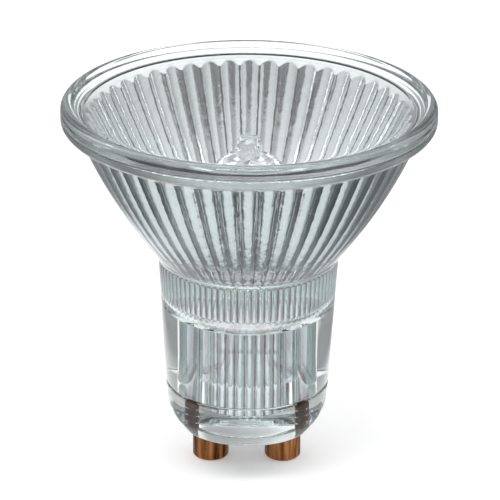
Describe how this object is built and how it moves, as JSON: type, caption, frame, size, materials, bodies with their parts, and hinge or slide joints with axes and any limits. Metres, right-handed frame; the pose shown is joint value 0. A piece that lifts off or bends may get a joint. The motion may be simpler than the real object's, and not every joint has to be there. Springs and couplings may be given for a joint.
{
  "type": "reflector spotlight bulb",
  "caption": "Halogen reflector bulb with a fluted mirrored glass bowl, bonded clear front lens, quartz burner and a twist-lock base with contact pins.",
  "frame": {"origin": "on the lamp's axis, at the ends of the contact pins", "axes": "+Z along the lamp's axis towards the front lens; the contact pins lie along X"},
  "size_m": [0.0508, 0.0508, 0.0526],
  "materials": {
    "reflector_glass": "clear pressed glass, mirror coated inside the bowl",
    "lens_glass": "clear pressed glass",
    "quartz": "clear fused quartz",
    "tungsten": "drawn tungsten wire",
    "foil": "rolled molybdenum foil",
    "lead_wire": "drawn nickel wire",
    "pin_metal": "tarnished copper-plated turned metal"
  },
  "bodies": {
    "root": {"reflector_body": "reflector_glass", "front_lens": "lens_glass", "burner_envelope": "quartz", "filament": "tungsten", "filament_support": "tungsten", "filament_lead_left": "tungsten", "filament_lead_right": "tungsten", "foil_left": "foil", "foil_right": "foil", "outer_lead_left": "lead_wire", "outer_lead_right": "lead_wire", "contact_pin_left": "pin_metal", "contact_pin_right": "pin_metal"}
  },
  "joints": []
}
